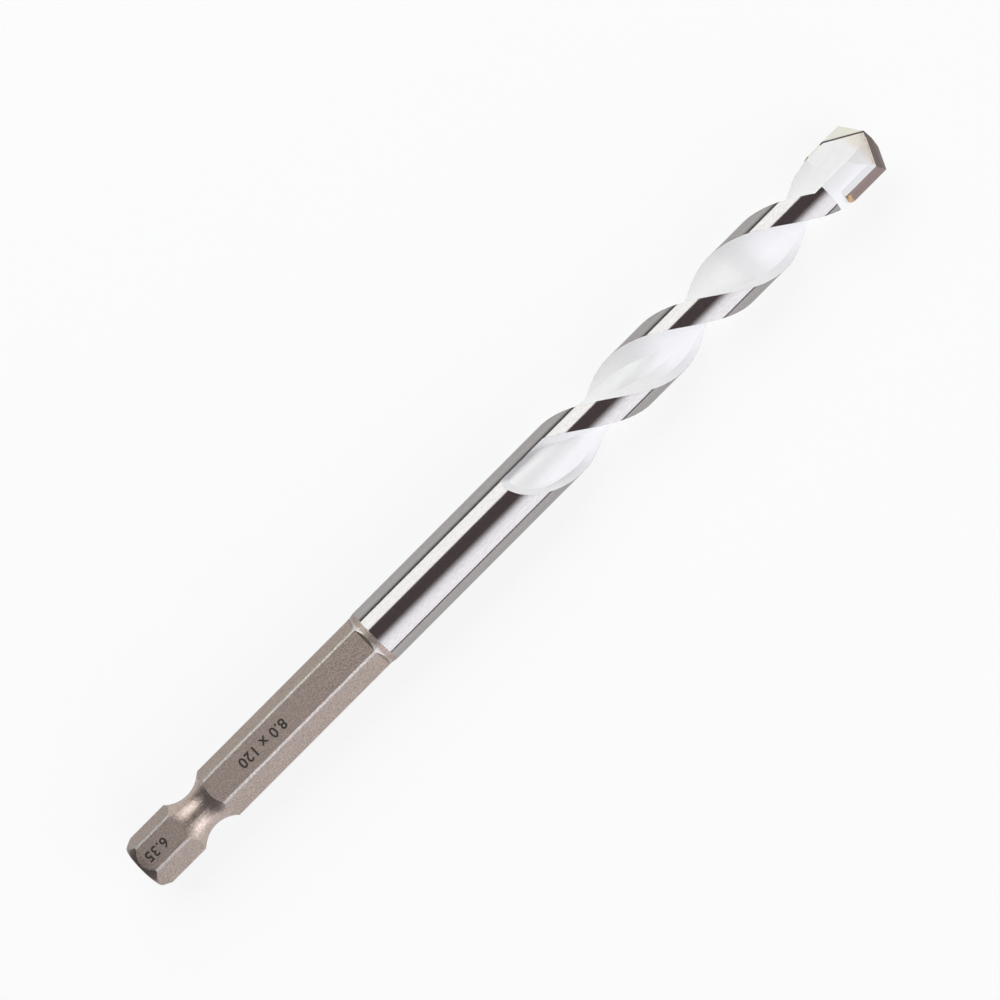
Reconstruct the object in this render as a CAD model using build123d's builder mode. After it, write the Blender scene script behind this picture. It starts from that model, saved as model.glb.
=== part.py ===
from build123d import *
import os
from math import acos, cos, degrees, radians, sin, sqrt, tan

# Drill bit for mixed materials: 8 mm bore, 120 mm long, quarter-inch hex shank.
# X runs along the bit from the shank end to the point, and Z is up.
# The origin is the centre of the shank end face. Turns about X are in degrees, from +Y towards +Z.

# Overall
overall_length = 120.0
body_diameter = 7.42
head_diameter = 7.25
head_length = 8.65

# Hex shank
hex_across_flats = 6.35
hex_corner_diameter = 7.16
hex_flats_end = 37.0
flat_runout_angle = 45.0
end_cone_diameter = 6.0
end_cone_length = 1.2
end_edge_radius = 0.4

# Latch groove of the shank
groove_position = 9.43
groove_root_diameter = 4.83
groove_radius = 3.95

# Collar between the shank and the round body
collar_gap = 0.35
collar_length = 0.8

# Flutes
flute_lead = 33.42
land_angle = 55.4
web_thickness = 3.0
heel_foot = 2.3
heel_foot_radius = 1.0
flute_length = 59.34
straight_length = 7.1
head_land_angle = 84.0
core_diameter = 6.1
core_taper = 3.25

# Run-out of the flutes towards the shank
runout_slope = 45.0
runout_skew = 31.0
runout_reach = 5.4
runout_offset = -1.3
runout_side_length = 7.45
runout_side_draft = 15.0

# Carbide plate
tip_diameter = 8.0
plate_thickness = 1.95
plate_length = 7.4
plate_turn = 156.0
plate_nose_radius = 0.9
lip_ahead = 25.0
point_angle = 128.0
relief_angle = 17.0
second_relief_angle = 29.0

# Seat of the plate in the steel head
braze_gap = 0.12
braze_end_gap = 0.25
bead_width = 0.5
bead_margin = 0.1
seat_drop = 0.08
heel_facet_angle = 56.0
gash_foot = 0.5
gash_angle = 54.0
gash_side_angle = 45.0

# Derived sizes
body_radius = body_diameter / 2
corner_radius = hex_corner_diameter / 2
half_flute = (180 - land_angle) / 2
reach = 3 * body_diameter
overrun = 1.0

# Places along the bit
collar_start = hex_flats_end + collar_gap
collar_end = collar_start + collar_length
runout_start = overall_length - flute_length
head_start = overall_length - head_length
straight_start = overall_length - straight_length
plate_start = overall_length - plate_length

# Angles about X of the flute's leading side and its middle where it runs straight
lip_turn = plate_turn - 180 + lip_ahead
middle_turn = lip_turn + half_flute

# Angle about X of the plane in which the turned profiles are drawn
profile_turn = plate_turn - 130


def turned(angle):
    """Unit vector across the bit at an angle about X."""
    return Vector(0, cos(radians(angle)), sin(radians(angle)))


def cross_plane(position, angle):
    """Plane across the bit, its x axis at an angle about X and its normal towards the point."""
    return Plane(origin=(position, 0, 0), x_dir=turned(angle), z_dir=(1, 0, 0))


def flute_middle(position):
    """Angle about X of the middle of the flute where it still twists."""
    return middle_turn + 360 * (position - straight_start) / flute_lead


def helix_position(lead):
    """Place along X where the flute's leading side is ahead of its last angle by lead degrees."""
    return straight_start + lead * flute_lead / 360


def half_space(plane):
    """Block that fills what stands above a plane."""
    with BuildPart() as block:
        with BuildSketch(plane):
            Rectangle(reach, reach)
        extrude(amount=reach)
    return block.part


# Flute section: a nearly flat face tangent to the web, and a wall up to the heel of the next land
web_radius = web_thickness / 2
floor_tilt = degrees(acos(web_radius / body_radius)) - half_flute
lip = (body_radius * cos(radians(half_flute)), -body_radius * sin(radians(half_flute)))
heel = (lip[0], -lip[1])
foot_depth = (web_radius - heel_foot * sin(radians(floor_tilt))) / cos(radians(floor_tilt))
foot = (foot_depth, heel_foot)
wall_slope = (heel[0] - foot[0]) / (heel[1] - foot[1])
wall_outer = (heel[0] + body_radius * wall_slope, heel[1] + body_radius)
floor_outer = (lip[0] + body_radius * tan(radians(floor_tilt)), lip[1] - body_radius)


def flute_section(position):
    """Section of one flute where it still twists."""
    with BuildSketch(cross_plane(position, flute_middle(position))) as section:
        with BuildLine():
            Polyline(floor_outer, foot, wall_outer, (reach, wall_outer[1]), (reach, floor_outer[1]), close=True)
        make_face()
        fillet(section.vertices().sort_by_distance((position, 0, 0))[0], radius=heel_foot_radius)
    return section.sketch


# Steel blank: hex shank corners, groove, collar, round body and head in one turned profile
groove_half = sqrt(groove_radius**2 - (groove_root_diameter / 2 + groove_radius - corner_radius) ** 2)
with BuildPart() as steel_blank:
    with BuildSketch(Plane.XZ.rotated((profile_turn, 0, 0))):
        with BuildLine():
            Polyline(
                (groove_position - groove_half, corner_radius),
                (end_cone_length, corner_radius),
                (0, end_cone_diameter / 2),
                (0, 0),
                (overall_length, 0),
                (overall_length, head_diameter / 2),
                (head_start, head_diameter / 2),
                (head_start, body_radius),
                (collar_end, body_radius),
                (collar_start, corner_radius),
                (groove_position + groove_half, corner_radius),
            )
            ThreePointArc(
                (groove_position + groove_half, corner_radius),
                (groove_position, groove_root_diameter / 2),
                (groove_position - groove_half, corner_radius),
            )
        make_face()
    revolve(axis=Axis.X)
    fillet(steel_blank.edges().group_by(Axis.X)[0], radius=end_edge_radius)

    # Six flats, each run out against the collar on a slope
    flat_height = hex_across_flats / 2
    flat_rise = body_radius
    flat_run = flat_rise / tan(radians(flat_runout_angle))
    for side in range(6):
        with BuildSketch(Plane.XZ.rotated((60 * side, 0, 0))):
            with BuildLine():
                Polyline(
                    (-overrun, flat_height),
                    (hex_flats_end, flat_height),
                    (hex_flats_end + flat_run, flat_height + flat_rise),
                    (-overrun, flat_height + flat_rise),
                    close=True,
                )
            make_face()
        extrude(amount=body_radius, both=True, mode=Mode.SUBTRACT)

# One flute: a twisted length, then straight through the head
helix_start = runout_start - overrun
helix_length = straight_start - helix_start
twisted_flute = Solid.extrude_linear_with_rotation(
    flute_section(helix_start).face(),
    center=(helix_start, 0, 0),
    normal=(helix_length, 0, 0),
    angle=360 * helix_length / flute_lead,
)

# Run-out floor: a slope that climbs out of the round body, skewed towards the heel side
runout_turn = flute_middle(runout_start + runout_reach)
runout_out = turned(runout_turn)
runout_side = turned(runout_turn + 90)
skew = radians(runout_skew)
climb = radians(runout_slope)
downhill = Vector(1, 0, 0) * cos(skew) - runout_side * sin(skew)
runout_floor = Plane(
    origin=Vector(runout_start, 0, 0) + runout_side * runout_offset + runout_out * body_radius,
    z_dir=-runout_out * cos(climb) - downhill * sin(climb),
)

# Run-out side: a wall along the bit until the flute's leading side reaches it
runout_side_end = runout_start + runout_side_length
side_frame = cross_plane(0, flute_middle(runout_side_end))
side_lean = tan(radians(runout_side_draft))
with BuildPart() as runout_wall:
    with BuildSketch(side_frame):
        with BuildLine():
            Polyline(
                (-reach, lip[1] + (lip[0] + reach) * side_lean),
                (reach, lip[1] - (reach - lip[0]) * side_lean),
                (reach, -2 * reach),
                (-reach, -2 * reach),
                close=True,
            )
        make_face()
    extrude(amount=runout_side_end)

# Heel wall of the head: the land is wider there, and its wall runs straight
head_heel_start = helix_position(land_angle - head_land_angle)
with BuildPart() as head_wall:
    with BuildSketch(cross_plane(head_heel_start, flute_middle(head_heel_start))):
        with BuildLine():
            Polyline(
                (foot[0] - foot[1] * wall_slope, 0),
                wall_outer,
                (wall_outer[0], reach),
                (-reach, reach),
                (-reach, 0),
                close=True,
            )
        make_face()
    extrude(amount=reach)

# Core: thick where the flutes start, it tapers until it is lost in the web
core_slope = tan(radians(core_taper))
with BuildPart() as core:
    with BuildSketch(Plane.XZ.rotated((profile_turn, 0, 0))):
        with BuildLine():
            Polyline(
                (helix_start, 0),
                (helix_start, core_diameter / 2 + overrun * core_slope),
                (runout_start + core_diameter / 2 / core_slope, 0),
                close=True,
            )
        make_face()
    revolve(axis=Axis.X)

with BuildPart() as flute_cutter:
    add(twisted_flute)
    extrude(to_extrude=flute_section(straight_start), amount=reach)
    add(half_space(runout_floor), mode=Mode.SUBTRACT)
    add(runout_wall.part, mode=Mode.SUBTRACT)
    add(head_wall.part, mode=Mode.SUBTRACT)


def wing_plane(turn, height, side, outward_fall, forward_fall):
    """Plane over one wing of the plate: it falls outwards, and towards the wing's leading side."""
    outward = turned(turn)
    leading = turned(turn + 90)
    normal = Vector(1, 0, 0) + outward * outward_fall + leading * forward_fall
    return Plane(origin=Vector(height, 0, 0) + leading * side, z_dir=normal)


# Point: flanks of the plate, heel facets and gashes of the steel, one of each to a wing
outward_fall = 1 / tan(radians(point_angle / 2))
second_relief = tan(radians(second_relief_angle))
heel_fall = tan(radians(heel_facet_angle))
gash_fall = tan(radians(gash_angle))
gash_side_fall = tan(radians(gash_side_angle))
plate_half = plate_thickness / 2
seat_half = plate_half + braze_gap
heel_top = overall_length - second_relief * plate_half - seat_drop
gash_top = overall_length + gash_foot * gash_fall
wings = (plate_turn, plate_turn + 180)
flanks = []
heel_facets = []
gashes = []
for turn in wings:
    flanks.append(wing_plane(turn, overall_length, 0, outward_fall, -tan(radians(relief_angle))))
    flanks.append(wing_plane(turn, overall_length, 0, outward_fall, -second_relief))
    heel_facets.append(wing_plane(turn, heel_top, -seat_half, outward_fall, -heel_fall))
    gashes.append(wing_plane(turn, gash_top, plate_half, gash_fall, gash_side_fall))

with BuildPart() as steel_head:
    add(steel_blank.part)
    for turn in (0, 180):
        add(flute_cutter.part.rotate(Axis.X, turn), mode=Mode.SUBTRACT)
    add(core.part)
    for facet in heel_facets + gashes:
        add(half_space(facet), mode=Mode.SUBTRACT)

# Carbide plate: full diameter at its margins, roof-shaped point, round nose in the slot
with BuildPart() as carbide_plate:
    with BuildSketch(cross_plane(plate_start, plate_turn)):
        Circle(tip_diameter / 2)
        Rectangle(tip_diameter, plate_thickness, mode=Mode.INTERSECT)
    extrude(amount=overall_length - plate_start)
    nose_edges = carbide_plate.edges().filter_by(GeomType.LINE).group_by(Axis.X)[0]
    fillet(nose_edges, radius=plate_nose_radius)
    for flank in flanks:
        add(half_space(flank), mode=Mode.SUBTRACT)

# Slot across the head, wider and deeper than the plate by the braze gaps
with BuildPart() as slot:
    with BuildSketch(cross_plane(plate_start - braze_end_gap, plate_turn)):
        Rectangle(reach, 2 * seat_half)
    extrude(amount=reach)
    slot_ends = slot.edges().filter_by(GeomType.LINE).group_by(Axis.X)[0].sort_by(SortBy.LENGTH)[-2:]
    fillet(slot_ends, radius=plate_nose_radius + braze_gap)

with BuildPart() as bit_body:
    add(steel_head.part)
    add(slot.part, mode=Mode.SUBTRACT)

# Braze beads: they close the corner between the plate's trailing side and the steel
bead_top = tip_diameter / 2 - bead_margin
bead_foot = sqrt((head_diameter / 2) ** 2 - (seat_half + bead_width) ** 2)
with BuildPart() as beads:
    for turn in wings:
        with BuildSketch(cross_plane(plate_start, turn)):
            with BuildLine():
                Polyline(
                    (bead_foot, -seat_half - bead_width),
                    (bead_top, -plate_half),
                    (bead_foot, -plate_half),
                    close=True,
                )
            make_face()
    extrude(amount=plate_length)
    for facet in heel_facets:
        add(half_space(facet), mode=Mode.SUBTRACT)

# Braze: what is left of the slot around the plate, and the beads
with BuildPart() as braze_seam:
    add(steel_head.part)
    add(slot.part, mode=Mode.INTERSECT)
    add(beads.part)
    for flank in flanks:
        add(half_space(flank), mode=Mode.SUBTRACT)
    add(carbide_plate.part, mode=Mode.SUBTRACT)
    add(bit_body.part, mode=Mode.SUBTRACT)

os.makedirs("parts", exist_ok=True)
bit_body.part.label = "bit_body"
export_step(bit_body.part, "parts/bit_body.step")
carbide_plate.part.label = "carbide_plate"
export_step(carbide_plate.part, "parts/carbide_plate.step")
braze_seam.part.label = "braze_seam"
export_step(braze_seam.part, "parts/braze_seam.step")
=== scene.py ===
"""Drill bit for mixed materials: metal finishes, size marks, and a plain studio."""

from math import cos, pi, radians, sin

import bpy
from mathutils import Matrix, Vector


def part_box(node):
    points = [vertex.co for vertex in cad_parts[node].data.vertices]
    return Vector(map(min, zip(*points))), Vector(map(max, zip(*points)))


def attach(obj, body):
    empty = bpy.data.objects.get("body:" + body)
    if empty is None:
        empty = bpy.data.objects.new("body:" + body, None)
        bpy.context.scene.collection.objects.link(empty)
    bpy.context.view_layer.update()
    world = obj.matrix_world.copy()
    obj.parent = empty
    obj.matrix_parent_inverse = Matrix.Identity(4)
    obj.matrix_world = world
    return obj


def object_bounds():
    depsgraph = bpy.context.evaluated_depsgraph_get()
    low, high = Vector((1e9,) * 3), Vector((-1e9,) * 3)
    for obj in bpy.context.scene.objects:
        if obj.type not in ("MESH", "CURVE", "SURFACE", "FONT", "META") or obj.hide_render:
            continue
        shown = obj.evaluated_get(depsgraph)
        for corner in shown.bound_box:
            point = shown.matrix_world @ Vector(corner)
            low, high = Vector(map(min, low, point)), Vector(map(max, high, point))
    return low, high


bl_info = {
    "name": "Mixed Material Drill Bit",
    "version": (1, 0, 0),
    "blender": (4, 5, 0),
    "location": "View3D > Sidebar > Drill Bit",
    "description": "Finishes the drill bit's steel, carbide and braze, and sets up the studio",
    "category": "Object",
}

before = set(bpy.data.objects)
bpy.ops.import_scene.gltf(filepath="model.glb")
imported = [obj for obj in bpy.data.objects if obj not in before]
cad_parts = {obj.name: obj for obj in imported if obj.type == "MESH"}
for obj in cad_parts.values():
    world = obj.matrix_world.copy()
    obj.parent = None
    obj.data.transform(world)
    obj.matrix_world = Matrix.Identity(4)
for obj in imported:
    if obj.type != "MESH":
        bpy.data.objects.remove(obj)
CAD_BOX = [list(corner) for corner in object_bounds()]
MM = 0.001

# Half the width of the change from one finish to the next, in millimetres
SOFT_EDGE = 0.02

# Depths below a round skin, in millimetres, at which its finish starts and is whole.
# The skin is faceted, so the middle of a facet lies lower than its edges.
LAND_SKIN = (0.035, 0.028)
MARGIN_SKIN = (0.02, 0.01)

# Noise scales along X, Y and Z, in waves per metre
SPECKLE = (5000, 5000, 5000)
MOTTLE = (900, 1600, 1600)
STREAKS = (350, 5200, 5200)
GRIND = (1800, 6000, 6000)
CARBIDE_GRAIN = (9000, 9000, 9000)
MELT = (1800, 3500, 3500)
WEAR = (4500, 4500, 4500)

# Noise values that become 0 and 1 where the noise is made crisp
CRISP = (0.28, 0.72)

# Spread of the two dark seams on the rake faces, for each step back from the point. These seams are painted
# shade: a dark line where the steel's edge beside the plate shades the rake face
SEAM_SHADE_SLOPE = 0.7323

# Etched marks: name, figures, and place along the bit in millimetres. The depth is in millimetres,
# and the spacing and weight are those of Blender's text.
MARKS = (("size_mark", "8.0 x 120", 20.3), ("shank_mark", "6.35", 2.95))
MARK_DEPTH = 0.012
MARK_SPACING = 1.08
MARK_WEIGHT = 0.02

# Light tent: angle from straight up towards -Y in degrees, and colour of its bands
LIT = (0.966, 1.0, 0.991)
LIT_SOFT = (0.904, 0.923, 0.972)
DIM = (0.036, 0.021, 0.023)
TENT_BANDS = (
    (-90.0, (0.37, 0.37, 0.37)),
    (-84.0, (0.31, 0.31, 0.31)),
    (-80.5, (0.22, 0.22, 0.22)),
    (-78.0, (0.10, 0.10, 0.10)),
    (-76.0, (0.01, 0.01, 0.01)),
    (-69.5, (0.01, 0.01, 0.01)),
    (-69.0, LIT),
    (-24.5, LIT),
    (-22.0, DIM),
    (20.0, DIM),
    (28.0, (0.20, 0.20, 0.21)),
    (38.0, (0.54, 0.55, 0.58)),
    (46.0, (0.76, 0.78, 0.82)),
    (56.0, (0.85, 0.87, 0.92)),
    (64.0, LIT_SOFT),
    (90.0, LIT_SOFT),
)
TENT_REAR = (0.01, 0.009, 0.009)
TENT_FRONT = (0.12, 0.115, 0.11)

# Depth of the tent's dark rear end and dim front end, in millimetres, and the tent's sides
TENT_END = 1.5
TENT_SIDES = 180

# Plain stage colours
FLOOR_MATT = (0.9, 0.9, 0.9)
FLOOR_WHITE = (1.0, 1.0, 1.0)
FLAG_BLACK = (0.01, 0.01, 0.01)
WORLD_WHITE = (0.98, 0.98, 0.98)

# Tint of the steel's reflections at a grazing angle
EDGE_TINT = (0.7, 0.7, 0.7)


def length_property(label, about, value):
    """Length setting in metres, given in millimetres."""
    return bpy.props.FloatProperty(
        name=label, description=about, default=value * MM, unit="LENGTH", precision=5
    )


def angle_property(label, about, value):
    """Angle setting, given in degrees."""
    return bpy.props.FloatProperty(name=label, description=about, default=radians(value), subtype="ANGLE")


def colour_property(label, about, value):
    """Colour setting."""
    return bpy.props.FloatVectorProperty(
        name=label, description=about, default=value, subtype="COLOR", size=3, min=0.0, max=1.0
    )


def amount_property(label, about, value, lowest=0.0, highest=1.0):
    """Plain number setting."""
    return bpy.props.FloatProperty(name=label, description=about, default=value, min=lowest, max=highest)


class BitSizes(bpy.types.PropertyGroup):
    """Places along the bit where one finish gives way to the next."""

    body_diameter: length_property("Body diameter", "Across the polished round body", 7.42)
    collar_end: length_property("Collar end", "Shank end to the start of the round body", 38.15)
    head_start: length_property("Head start", "Shank end to the start of the unpolished head", 111.35)
    hex_across_flats: length_property("Hex across flats", "Across two opposite flats of the shank", 6.35)
    plate_start: length_property("Plate start", "Shank end to the rear end of the carbide plate", 112.6)
    flank_start: length_property("Flank start", "Shank end to the cutting edges' outer corners", 118.0)
    # The rake faces' seams are painted shade lines, where the steel's edge shades the carbide
    seam_shade_start: length_property("Seam start", "Shank end to the rear end of the rake faces' seams", 115.35)
    seam_shade_apex: length_property("Seam apex", "Shank end to where the rake faces' seams would meet", 120.78)
    seam_shade_width: length_property("Seam width", "Width of the rake faces' seams", 0.23)
    plate_thickness: length_property("Plate thickness", "Across the carbide plate", 1.95)
    nose_length: length_property("Nose length", "Golden length of the plate's rounded rear end", 0.55)
    stain_width: length_property("Stain width", "Width of the golden stain beside the plate", 0.26)
    plate_turn: angle_property("Plate turn", "Angle of the plate about the bit, from +Y towards +Z", 156.0)
    hex_corner_diameter: length_property("Hex corners", "Across the shank's turned corners", 7.16)
    tip_diameter: length_property("Tip diameter", "Across the plate's two margins", 8.0)
    groove_position: length_property("Groove position", "Shank end to the middle of the latch groove", 9.43)
    groove_root_diameter: length_property("Groove root", "Diameter at the root of the latch groove", 4.83)
    groove_radius: length_property("Groove radius", "Radius of the latch groove's round floor", 3.95)
    chamfer_length: length_property("End chamfer", "Length of the cone at the shank end", 1.2)
    mark_height: length_property("Mark height", "Height of the etched figures", 1.32)


class BitFinishes(bpy.types.PropertyGroup):
    """Colours of the metals and of the marks, and how rough and how metallic the steel is."""

    shank_colour: colour_property("Shank", "Bronze-grey satin coat of the hex shank", (0.388, 0.318, 0.281))
    corner_colour: colour_property("Shank corners", "Turned corners of the hex shank", (0.47, 0.43, 0.41))
    land_colour: colour_property("Polished body", "Ground and polished steel", (0.392, 0.372, 0.367))
    flute_colour: colour_property("Flutes", "Pale satin steel of the flutes and head", (0.9, 0.89, 0.89))
    carbide_colour: colour_property("Carbide", "Ground carbide plate", (0.16, 0.118, 0.105))
    margin_colour: colour_property("Margins", "Round margins of the carbide plate", (0.266, 0.204, 0.191))
    rake_colour: colour_property("Rake face", "Pale grind in front of the cutting edges", (0.5, 0.48, 0.43))
    braze_colour: colour_property("Braze", "Golden braze", (0.62, 0.42, 0.20))
    bead_colour: colour_property("Braze bead", "Silvery skin of the braze beads", (0.86, 0.855, 0.85))
    # The seam colour is painted shade: the dark gap between the steel's edge and the plate, on the rake
    # faces and on the braze in front of the plate
    seam_shade_colour: colour_property("Seam", "Dark seam in front of the plate", (0.045, 0.035, 0.03))
    mark_colour: colour_property("Size marks", "Dark etch on the flats", (0.035, 0.028, 0.025))
    flute_roughness: amount_property("Flute roughness", "Flutes and head", 0.6)
    shank_roughness: amount_property("Shank roughness", "Coated hex shank", 0.46)
    corner_roughness: amount_property("Corner roughness", "Turned corners of the hex shank", 0.38)
    chamfer_roughness: amount_property("Chamfer roughness", "Cone at the shank end", 0.31)
    groove_roughness: amount_property("Groove roughness", "Turned latch groove", 0.27)
    land_roughness: amount_property("Body roughness", "Polished round body and lands", 0.1)
    flute_metallic: amount_property("Flute metallic", "Flutes and head", 0.16)
    shank_metallic: amount_property("Shank metallic", "Coated hex shank", 0.8)
    land_metallic: amount_property("Body metallic", "Polished round body and lands", 0.92)
    flute_grain: amount_property("Flute grain", "Strength of the grain on the flutes", 0.02)
    shank_grain: amount_property("Shank grain", "Strength of the grain on the shank", 0.72)
    grain_depth: length_property("Grain depth", "Height of the grain on the steel", 0.02)
    nose_stain: amount_property("Nose stain", "Golden braze on the plate's rounded rear end", 0.85)
    rear_stain: amount_property("Rear stain", "Golden stain behind the plate", 0.85)
    point_stain: amount_property("Point stain", "Golden stain near the point", 0.3)


class StudioSettings(bpy.types.PropertyGroup):
    """Camera, light tent and floor."""

    lens: amount_property("Lens", "Focal length in millimetres", 113.1, 10.0, 500.0)
    camera_distance: length_property("Camera distance", "Camera to the bit's axis", 366.0)
    view_tilt: angle_property("View tilt", "Turn of the view about the bit, away from straight down", 8.93)
    view_roll: angle_property("View roll", "Turn of the bit in the picture", 45.08)
    aim_along: length_property("Aim along", "Shank end to the picture's centre", 59.55)
    aim_across: length_property("Aim across", "Bit's axis to the picture's centre", 0.88)
    tent_radius: length_property("Tent radius", "Bit's axis to the light tent", 600.0)
    tent_rear: length_property("Tent rear", "Rear end of the light tent along the bit", -370.0)
    tent_front: length_property("Tent front", "Front end of the light tent along the bit", 610.0)
    light_level: amount_property("Light level", "Brightness of the tent's two lit bands", 2.42, 0.0, 20.0)
    card_distance: length_property("Card distance", "Bit's axis to the reflector card beside it", 30.0)
    flag_distance: length_property("Flag distance", "Shank end to the black flag behind it", 12.0)
    card_edge: length_property("Card edge", "Bit's axis up to the foot of the card's white", -0.4)
    card_length: length_property("Card length", "Length of the reflector card and of the flag", 400.0)
    card_top: length_property("Card top", "Bit's axis up to the top of the card", 6.0)
    flag_height: length_property("Flag height", "Height of the black flag", 40.0)
    floor_size: length_property("Floor size", "Length and width of the floor", 6000.0)
    floor_middle: length_property("Floor middle", "Shank end to the middle of the floor", 60.0)
    floor_glow: amount_property("Floor glow", "Share of the floor that is white without light", 0.84)


class Value:
    """Shader socket that plain maths can be written with."""

    def __init__(self, finish, socket):
        self.finish = finish
        self.socket = socket

    def maths(self, operation, *others):
        return self.finish.node("ShaderNodeMath", {"operation": operation}, dict(enumerate(others)))

    def __add__(self, other):
        return self.maths("ADD", self, other)

    def __radd__(self, other):
        return self.maths("ADD", other, self)

    def __sub__(self, other):
        return self.maths("SUBTRACT", self, other)

    def __rsub__(self, other):
        return self.maths("SUBTRACT", other, self)

    def __mul__(self, other):
        return self.maths("MULTIPLY", self, other)

    def __rmul__(self, other):
        return self.maths("MULTIPLY", other, self)

    def __truediv__(self, other):
        return self.maths("DIVIDE", self, other)

    def __rtruediv__(self, other):
        return self.maths("DIVIDE", other, self)

    def __pow__(self, other):
        return self.maths("POWER", self, other)

    def __neg__(self):
        return self.maths("MULTIPLY", self, -1.0)

    def size(self):
        """Value without its sign."""
        return self.maths("ABSOLUTE", self)

    def larger(self, other):
        """Larger of two values."""
        return self.maths("MAXIMUM", self, other)

    def step(self, low, high):
        """Smooth rise from 0 at low to 1 at high."""
        return self.finish.node(
            "ShaderNodeMapRange",
            {"interpolation_type": "SMOOTHSTEP"},
            {"Value": self, "From Min": low, "From Max": high},
        )

    def past(self, place, softness=SOFT_EDGE):
        """0 before a place and 1 past it, with a softness in millimetres."""
        return self.step(place - softness * MM, place + softness * MM)

    def on_skin(self, diameter, depths):
        """0 inside a round skin and 1 on it, for a distance from the axis."""
        start, whole = depths
        return self.step(diameter / 2 - start * MM, diameter / 2 - whole * MM)


class Finish:
    """Material built from nodes."""

    def __init__(self, name):
        self.material = bpy.data.materials.new(name)
        self.material.use_nodes = True
        self.tree = self.material.node_tree
        self.tree.nodes.clear()
        self.output = self.tree.nodes.new("ShaderNodeOutputMaterial")

    def node(self, kind, settings=None, inputs=None, output=0):
        """Adds a node: its settings first, then the values or links of its sockets. Returns one output."""
        made = self.tree.nodes.new(kind)
        for name, value in (settings or {}).items():
            if name == "stops":
                self.fill_ramp(made.color_ramp, value)
            else:
                setattr(made, name, value)
        for name, value in (inputs or {}).items():
            if isinstance(value, Value):
                self.tree.links.new(value.socket, made.inputs[name])
            else:
                made.inputs[name].default_value = value
        return Value(self, made.outputs[output])

    def fill_ramp(self, ramp, stops):
        """Sets a colour ramp's stops from (place, colour) pairs."""
        while len(ramp.elements) > 1:
            ramp.elements.remove(ramp.elements[-1])
        for index, (place, colour) in enumerate(stops):
            element = ramp.elements[0] if index == 0 else ramp.elements.new(place)
            element.position = place
            element.color = rgba(colour)

    def place(self):
        """Position on the piece, and its three parts."""
        here = self.node("ShaderNodeTexCoord", output="Object")
        split = self.tree.nodes.new("ShaderNodeSeparateXYZ")
        self.tree.links.new(here.socket, split.inputs[0])
        return here, *(Value(self, socket) for socket in split.outputs)

    def blend(self, amount, first, second):
        """Mix of two colours."""
        return self.node(
            "ShaderNodeMix",
            {"data_type": "RGBA"},
            {0: amount, 6: first, 7: second},
            output=2,
        )

    def layers(self, level, *layers):
        """Number that each mask in turn changes to its own level."""
        for mask, own_level in layers:
            level = level + mask * (own_level - level)
        return level

    def tint(self, colour, amount):
        """Colour made lighter or darker by a value."""
        colour = colour if isinstance(colour, Value) else colour[:3]
        return self.node("ShaderNodeVectorMath", {"operation": "SCALE"}, {0: colour, "Scale": amount})

    def noise(self, place, stretch, detail=2.0, roughness=0.5):
        """Noise with its own scale along X, Y and Z, in waves per metre."""
        stretched = self.node(
            "ShaderNodeVectorMath", {"operation": "MULTIPLY"}, {0: place, 1: stretch}
        )
        return self.node(
            "ShaderNodeTexNoise",
            {},
            {"Vector": stretched, "Scale": 1.0, "Detail": detail, "Roughness": roughness},
        )

    def surface(self, **inputs):
        """Ends the material in a metal surface."""
        named = {name.replace("_", " ").title(): value for name, value in inputs.items()}
        self.end_in(self.node("ShaderNodeBsdfPrincipled", {}, named))

    def glow(self, colour, strength):
        """Ends the material in light of its own."""
        self.end_in(self.node("ShaderNodeEmission", {}, {"Color": colour, "Strength": strength}))

    def end_in(self, shader):
        """Ends the material in a shader."""
        self.tree.links.new(shader.socket, self.output.inputs["Surface"])


def rgba(colour):
    """Colour with full opacity."""
    return (*colour, 1.0)


def finish_node(name, finish):
    """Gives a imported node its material."""
    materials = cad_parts[name].data.materials
    materials.clear()
    materials.append(finish.material)


def plate_frame(sizes, across, up):
    """Distance out along the plate, and forward of its middle plane on the first wing."""
    outward = across * cos(sizes.plate_turn) + up * sin(sizes.plate_turn)
    forward = up * cos(sizes.plate_turn) - across * sin(sizes.plate_turn)
    return outward, forward


def ahead_of_plate(outward, forward, softness=0.02):
    """1 on the leading side of both wings of the plate. The softness is in square millimetres."""
    return (outward * forward).step(0.0, softness * MM * MM)


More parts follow.
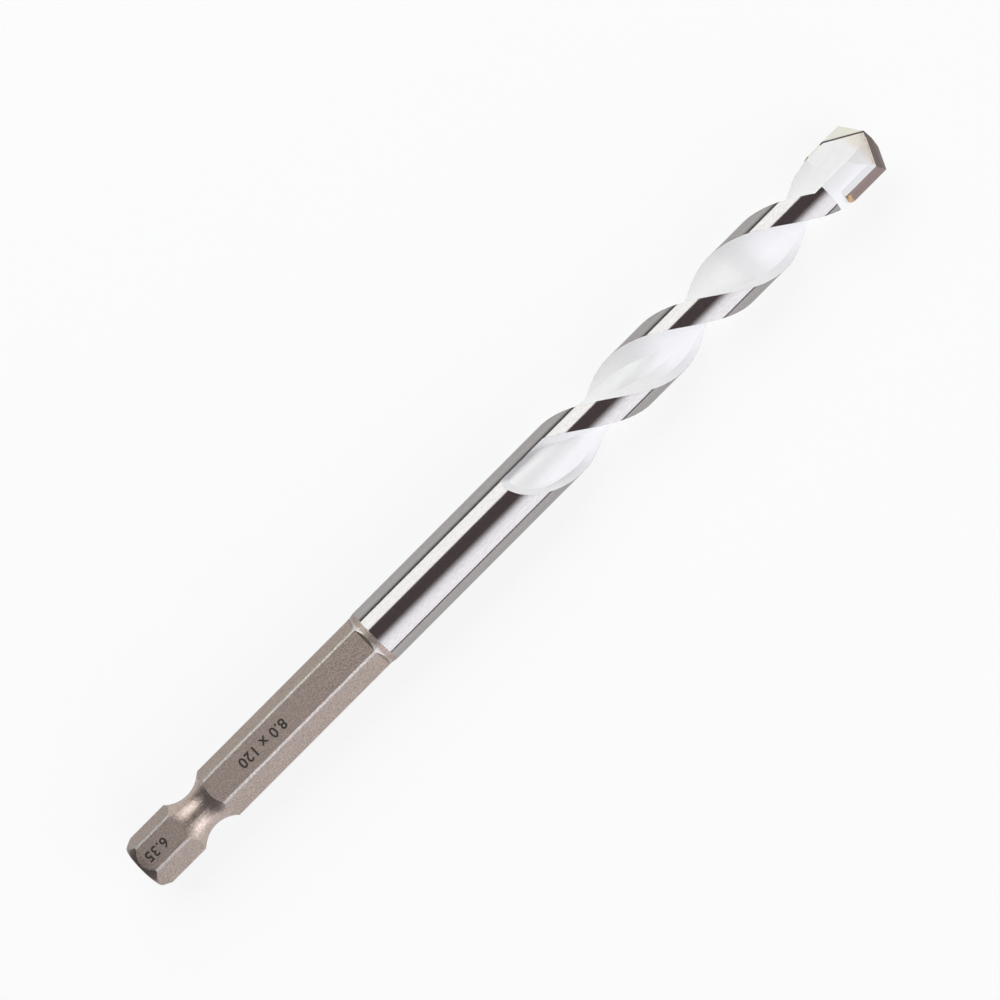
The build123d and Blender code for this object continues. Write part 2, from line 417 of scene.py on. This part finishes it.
class OBJECT_OT_finish_steel(bpy.types.Operator):
    """Shank coat, polished lands, and pale satin flutes and head on the steel bit"""

    bl_idname = "object.finish_steel"
    bl_label = "Finish Steel"

    def execute(self, context):
        sizes = context.scene.bit_sizes
        looks = context.scene.bit_finishes
        finish = Finish("steel")
        place, along, across, up = finish.place()
        radius = (across * across + up * up) ** 0.5
        past_collar = along.past(sizes.collar_end)
        before_head = 1 - along.past(sizes.head_start)
        land = past_collar * before_head * radius.on_skin(sizes.body_diameter, LAND_SKIN)

        coated = 1 - past_collar
        from_corner = (radius - sizes.hex_corner_diameter / 2).size()
        corner = coated * (1 - from_corner.past(SOFT_EDGE * MM, softness=SOFT_EDGE / 2))
        chamfer = 1 - along.past(sizes.chamfer_length, softness=0.05)
        groove = self.groove(sizes, along, radius)

        speckle = finish.noise(place, SPECKLE, roughness=0.8).step(*CRISP)
        grind = finish.noise(place, GRIND, roughness=0.8).step(*CRISP)
        mottle = finish.noise(place, MOTTLE, detail=3.0)
        streaks = finish.noise(place, STREAKS)

        coat = 0.66 + 0.56 * speckle + 0.16 * mottle - 0.08 * chamfer + 0.28 * groove
        shank = finish.tint(rgba(looks.shank_colour), coat)
        shank = finish.blend(corner, shank, finish.tint(rgba(looks.corner_colour), coat))
        pale = finish.tint(rgba(looks.flute_colour), 0.94 + 0.07 * streaks + 0.05 * mottle)
        golden = finish.tint(rgba(looks.braze_colour), 0.5 + mottle)
        pale = finish.blend(self.stained(sizes, looks, along, across, up, mottle), pale, golden)
        polished = finish.tint(rgba(looks.land_colour), 0.93 + 0.14 * grind)
        colour = finish.blend(past_collar, shank, pale)
        colour = finish.blend(land, colour, polished)
        metallic = finish.layers(
            looks.flute_metallic,
            (coated, looks.shank_metallic),
            (land, looks.land_metallic),
        )
        roughness = finish.layers(
            looks.flute_roughness,
            (coated, looks.shank_roughness),
            (corner, looks.corner_roughness),
            (chamfer, looks.chamfer_roughness),
            (groove, looks.groove_roughness),
            (land, looks.land_roughness),
        )
        grainy = finish.node(
            "ShaderNodeBump",
            {},
            {
                "Strength": finish.layers(looks.flute_grain, (coated, looks.shank_grain)),
                "Distance": looks.grain_depth,
                "Height": speckle,
                "Normal": self.facing(finish, across, up, land),
            },
        )
        finish.surface(
            base_color=colour,
            metallic=metallic,
            roughness=roughness,
            specular_tint=rgba(EDGE_TINT),
            normal=grainy,
        )
        finish_node("bit_body", finish)
        return {"FINISHED"}

    def groove(self, sizes, along, radius):
        """1 on the round floor of the latch groove and 0 elsewhere."""
        from_middle = along - sizes.groove_position
        below_centre = sizes.groove_root_diameter / 2 + sizes.groove_radius - radius
        from_centre = (from_middle * from_middle + below_centre * below_centre) ** 0.5
        return 1 - (from_centre - sizes.groove_radius).step(0.01 * MM, 0.04 * MM)

    def stained(self, sizes, looks, along, across, up, mottle):
        """Share of golden heat stain: strong behind the plate, and faint near the point."""
        outward, forward = plate_frame(sizes, across, up)
        behind = ahead_of_plate(-outward, forward, 0.1)
        near = 1 - (forward.size() - sizes.plate_thickness / 2).past(sizes.stain_width, softness=0.16)
        past_rear = (along - sizes.plate_start).step(-0.1 * MM, 0.3 * MM)
        at_rear = behind * near * mottle.step(0.30, 0.50) * past_rear * looks.rear_stain
        at_point = (along - sizes.flank_start).step(-1.0 * MM, 0.3 * MM) * looks.point_stain
        return at_rear.larger(at_point)

    def facing(self, finish, across, up, land):
        """Normal: the mesh's own, but straight out from the axis on the lands."""
        mesh = finish.node("ShaderNodeNewGeometry", output="Normal")
        outward = finish.node("ShaderNodeCombineXYZ", {}, {0: 0.0, 1: across, 2: up})
        outward = finish.node("ShaderNodeVectorMath", {"operation": "NORMALIZE"}, {0: outward})
        return finish.node(
            "ShaderNodeMix", {"data_type": "VECTOR"}, {0: land, 4: mesh, 5: outward}, output=1
        )


class OBJECT_OT_finish_carbide(bpy.types.Operator):
    """Ground dark carbide on the cutting plate"""

    bl_idname = "object.finish_carbide"
    bl_label = "Finish Carbide"

    def execute(self, context):
        sizes = context.scene.bit_sizes
        looks = context.scene.bit_finishes
        finish = Finish("carbide")
        place, along, across, up = finish.place()
        outward, forward = plate_frame(sizes, across, up)
        radius = (across * across + up * up) ** 0.5
        grain = finish.noise(place, CARBIDE_GRAIN, roughness=0.7)
        melt = finish.noise(place, MELT, detail=3.0)

        on_margin = radius.on_skin(sizes.tip_diameter, MARGIN_SKIN)
        ground = finish.blend(on_margin, rgba(looks.carbide_colour), rgba(looks.margin_colour))
        ground = finish.tint(ground, 0.6 + 0.8 * grain)
        past_rear = along - sizes.plate_start + 0.3 * MM * (melt - 0.5)
        on_nose = 1 - past_rear.past(sizes.nose_length, softness=0.1)
        golden = finish.tint(rgba(looks.braze_colour), 0.5 + melt)
        ground = finish.blend(on_nose * looks.nose_stain, ground, golden)

        rake = finish.tint(rgba(looks.rake_colour), 0.92 + 0.16 * grain)
        # Painted shade: a dark line on each rake face, where the steel's edge beside it shades the carbide
        from_seam = outward.size() - SEAM_SHADE_SLOPE * (sizes.seam_shade_apex - along)
        seam = 1 - from_seam.past(sizes.seam_shade_width, softness=0.06)
        seam = seam * along.past(sizes.seam_shade_start, softness=0.15)
        rake = finish.blend(seam, rake, rgba(looks.seam_shade_colour))

        half = sizes.plate_thickness / 2
        on_side = forward.size().step(half - 0.02 * MM, half - 0.005 * MM)
        on_rake = on_side * ahead_of_plate(outward, forward)
        finish.surface(
            base_color=finish.blend(on_rake, ground, rake),
            metallic=0.8,
            roughness=0.36 + 0.12 * grain,
        )
        finish_node("carbide_plate", finish)
        return {"FINISHED"}


class OBJECT_OT_finish_braze(bpy.types.Operator):
    """Golden braze round the plate, silvery on the beads, and with painted shade in front of the plate"""

    bl_idname = "object.finish_braze"
    bl_label = "Finish Braze"

    def execute(self, context):
        sizes = context.scene.bit_sizes
        looks = context.scene.bit_finishes
        finish = Finish("braze")
        place, along, across, up = finish.place()
        outward, forward = plate_frame(sizes, across, up)
        melt = finish.noise(place, MELT, detail=3.0)

        beside = forward.size() - sizes.plate_thickness / 2
        bead = beside.step(0.02 * MM, 0.09 * MM)
        behind_rear = 1 - along.past(sizes.plate_start, softness=0.05)
        silvery = bead + behind_rear * (1 - bead)
        past_nose = (along - sizes.plate_start).step(-0.02 * MM, 0.3 * MM)
        # Painted shade: in front of the plate the braze is dark and less metallic, for the shaded gap there
        seam = ahead_of_plate(outward, forward) * past_nose

        golden = finish.tint(rgba(looks.braze_colour), 0.4 + 0.8 * melt)
        brown = finish.tint(rgba(looks.braze_colour), 0.25 + 0.3 * melt)
        colour = finish.blend(along.past(sizes.flank_start, softness=0.2), brown, golden)
        colour = finish.blend(silvery, colour, rgba(looks.bead_colour))
        colour = finish.blend(seam, colour, rgba(looks.seam_shade_colour))
        finish.surface(
            base_color=colour,
            metallic=0.6 - 0.3 * silvery - 0.4 * seam,
            roughness=0.45 + 0.13 * silvery,
        )
        finish_node("braze_seam", finish)
        return {"FINISHED"}


class OBJECT_OT_size_marks(bpy.types.Operator):
    """Dark etched sizes on the upper flat, on either side of the latch groove"""

    bl_idname = "object.size_marks"
    bl_label = "Size Marks"

    def execute(self, context):
        sizes = context.scene.bit_sizes
        finish = Finish("etch")
        place, *_ = finish.place()
        wear = finish.noise(place, WEAR)
        mark_colour = rgba(context.scene.bit_finishes.mark_colour)
        finish.surface(
            base_color=finish.tint(mark_colour, 0.7 + 0.8 * wear),
            metallic=0.2,
            roughness=0.6,
        )
        for name, figures, middle in MARKS:
            bpy.ops.object.select_all(action="DESELECT")
            # The figures read with the point to the left
            bpy.ops.object.text_add(rotation=(0, 0, pi))
            mark = bpy.context.object
            mark.name = name
            mark.data.body = figures
            mark.data.align_x = "CENTER"
            mark.data.align_y = "CENTER"
            mark.data.space_character = MARK_SPACING
            mark.data.offset = MARK_WEIGHT
            mark.data.extrude = MARK_DEPTH * MM
            bpy.ops.object.convert(target="MESH")
            scale = sizes.mark_height / mark.dimensions.y
            mark.scale = (scale, scale, 1.0)
            mark.location = (middle * MM, 0, sizes.hex_across_flats / 2)
            bpy.ops.object.transform_apply(location=True, rotation=True, scale=True)
            mark.data.materials.append(finish.material)
            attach(mark, "root")
        return {"FINISHED"}


class OBJECT_OT_set_studio(bpy.types.Operator):
    """Floor, light tent, pale surroundings and the camera"""

    bl_idname = "object.set_studio"
    bl_label = "Set Studio"

    def execute(self, context):
        scene = context.scene
        studio = scene.studio_settings
        lowest = min(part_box(name)[0][2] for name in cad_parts)
        self.make_floor(studio, lowest)
        self.make_tent(studio, lowest)
        self.make_card(studio, lowest)
        self.make_flag(studio, lowest)
        self.make_world(scene)
        self.make_camera(scene, studio)
        scene.view_settings.view_transform = "Standard"
        return {"FINISHED"}

    def make_floor(self, studio, lowest):
        """Pale floor that keeps the bit's shadow, and is white to the camera and in reflections."""
        bpy.ops.object.select_all(action="DESELECT")
        bpy.ops.mesh.primitive_plane_add(size=studio.floor_size, location=(studio.floor_middle, 0, lowest))
        floor = bpy.context.object
        floor.name = "floor"
        finish = Finish("floor")
        paths = finish.tree.nodes.new("ShaderNodeLightPath")
        seen = Value(finish, paths.outputs["Is Camera Ray"]) + Value(finish, paths.outputs["Is Glossy Ray"])
        seen = seen + Value(finish, paths.outputs["Is Transmission Ray"])
        matt = finish.node("ShaderNodeBsdfDiffuse", {}, {"Color": rgba(FLOOR_MATT)})
        white = finish.node("ShaderNodeEmission", {}, {"Color": rgba(FLOOR_WHITE), "Strength": 1.0})
        mixed = finish.node("ShaderNodeMixShader", {}, {0: seen * studio.floor_glow, 1: matt, 2: white})
        finish.end_in(mixed)
        floor.data.materials.append(finish.material)

    def make_tent(self, studio, lowest):
        """Half-round tent over the bit, lit in two bands, with a dark gap and dim ends."""
        bpy.ops.object.select_all(action="DESELECT")
        bpy.ops.mesh.primitive_cylinder_add(
            vertices=TENT_SIDES,
            radius=studio.tent_radius,
            depth=studio.tent_front - studio.tent_rear,
            location=((studio.tent_front + studio.tent_rear) / 2, 0, 0),
            rotation=(0, pi / 2, 0),
        )
        tent = bpy.context.object
        tent.name = "light_tent"
        bpy.ops.object.transform_apply(location=True, rotation=True, scale=True)
        bpy.ops.object.mode_set(mode="EDIT")
        bpy.ops.mesh.select_all(action="SELECT")
        bpy.ops.mesh.bisect(plane_co=(0, 0, lowest), plane_no=(0, 0, 1), clear_inner=True)
        bpy.ops.object.mode_set(mode="OBJECT")

        finish = Finish("tent_light")
        _, along, across, up = finish.place()
        turn = up.maths("ARCTAN2", -across, up) / pi + 0.5
        stops = [((angle + 90) / 180, colour) for angle, colour in TENT_BANDS]
        bands = finish.node("ShaderNodeValToRGB", {"stops": stops}, {0: turn})
        at_rear = 1 - along.past(studio.tent_rear + TENT_END * MM, softness=TENT_END / 3)
        at_front = along.past(studio.tent_front - TENT_END * MM, softness=TENT_END / 3)
        level = finish.blend(at_rear, bands, rgba(TENT_REAR))
        level = finish.blend(at_front, level, rgba(TENT_FRONT))
        finish.glow(level, studio.light_level)
        tent.data.materials.append(finish.material)
        tent.visible_camera = False

    def make_card(self, studio, lowest):
        """Low reflector card along the -Y side: white above, black at its foot."""
        middle = (CAD_BOX[0][0] + CAD_BOX[1][0]) / 2
        finish = Finish("card_light")
        *_, up = finish.place()
        colour = finish.blend(up.past(studio.card_edge, softness=0.2), rgba(DIM), rgba(LIT_SOFT))
        finish.glow(colour, studio.light_level)
        foot = (middle, -studio.card_distance, lowest)
        self.stand("reflector_card", foot, 0, studio.card_length, studio.card_top - lowest, finish)

    def make_flag(self, studio, lowest):
        """Black flag behind the shank end."""
        finish = Finish("flag_black")
        finish.end_in(finish.node("ShaderNodeBsdfDiffuse", {}, {"Color": rgba(FLAG_BLACK)}))
        foot = (-studio.flag_distance, 0, lowest)
        self.stand("black_flag", foot, pi / 2, studio.card_length, studio.flag_height, finish)

    def stand(self, name, foot, turn, length, height, finish):
        """Upright card on the floor that only the bit's reflections show."""
        x, y, z = foot
        middle = (x, y, z + height / 2)
        bpy.ops.object.select_all(action="DESELECT")
        bpy.ops.mesh.primitive_plane_add(size=1.0, location=middle, rotation=(pi / 2, 0, turn))
        card = bpy.context.object
        card.name = name
        card.scale = (length, height, 1.0)
        bpy.ops.object.transform_apply(location=True, rotation=True, scale=True)
        card.data.materials.append(finish.material)
        card.visible_camera = False
        card.visible_diffuse = False
        card.visible_shadow = False

    def make_world(self, scene):
        """Pale surroundings beyond the tent."""
        world = bpy.data.worlds.new("studio")
        scene.world = world
        world.use_nodes = True
        world.node_tree.nodes["Background"].inputs["Color"].default_value = rgba(WORLD_WHITE)

    def make_camera(self, scene, studio):
        """Camera over the bit, tilted and rolled as in the photograph."""
        camera = bpy.data.objects.new("camera", bpy.data.cameras.new("camera"))
        scene.collection.objects.link(camera)
        turn = Matrix.Rotation(studio.view_tilt, 4, "X")
        aim = turn @ Vector((0, studio.aim_across, studio.camera_distance))
        aim.x += studio.aim_along
        camera.matrix_world = Matrix.Translation(aim) @ turn @ Matrix.Rotation(-studio.view_roll, 4, "Z")
        camera.data.lens = studio.lens
        camera.data.sensor_width = 36.0
        camera.data.clip_start = 0.01
        camera.data.clip_end = 20.0
        scene.camera = camera


class VIEW3D_PT_drill_bit(bpy.types.Panel):
    """Settings and steps of the drill bit"""

    bl_label = "Drill Bit"
    bl_space_type = "VIEW_3D"
    bl_region_type = "UI"
    bl_category = "Drill Bit"

    def draw(self, context):
        layout = self.layout
        for group in (context.scene.bit_sizes, context.scene.bit_finishes, context.scene.studio_settings):
            box = layout.box()
            for name in group.bl_rna.properties.keys():
                if name not in ("rna_type", "name"):
                    box.prop(group, name)
        for step in STEPS:
            layout.operator(step.bl_idname)


STEPS = (
    OBJECT_OT_finish_steel,
    OBJECT_OT_finish_carbide,
    OBJECT_OT_finish_braze,
    OBJECT_OT_size_marks,
    OBJECT_OT_set_studio,
)
GROUPS = {"bit_sizes": BitSizes, "bit_finishes": BitFinishes, "studio_settings": StudioSettings}


def register():
    for name, group in GROUPS.items():
        bpy.utils.register_class(group)
        setattr(bpy.types.Scene, name, bpy.props.PointerProperty(type=group))
    for step in STEPS:
        bpy.utils.register_class(step)
    bpy.utils.register_class(VIEW3D_PT_drill_bit)


def unregister():
    bpy.utils.unregister_class(VIEW3D_PT_drill_bit)
    for step in reversed(STEPS):
        bpy.utils.unregister_class(step)
    for name, group in GROUPS.items():
        delattr(bpy.types.Scene, name)
        bpy.utils.unregister_class(group)


def main():
    register()
    bpy.ops.object.finish_steel()
    bpy.ops.object.finish_carbide()
    bpy.ops.object.finish_braze()
    bpy.ops.object.size_marks()
    bpy.ops.object.set_studio()


if __name__ == "__main__":
    main()
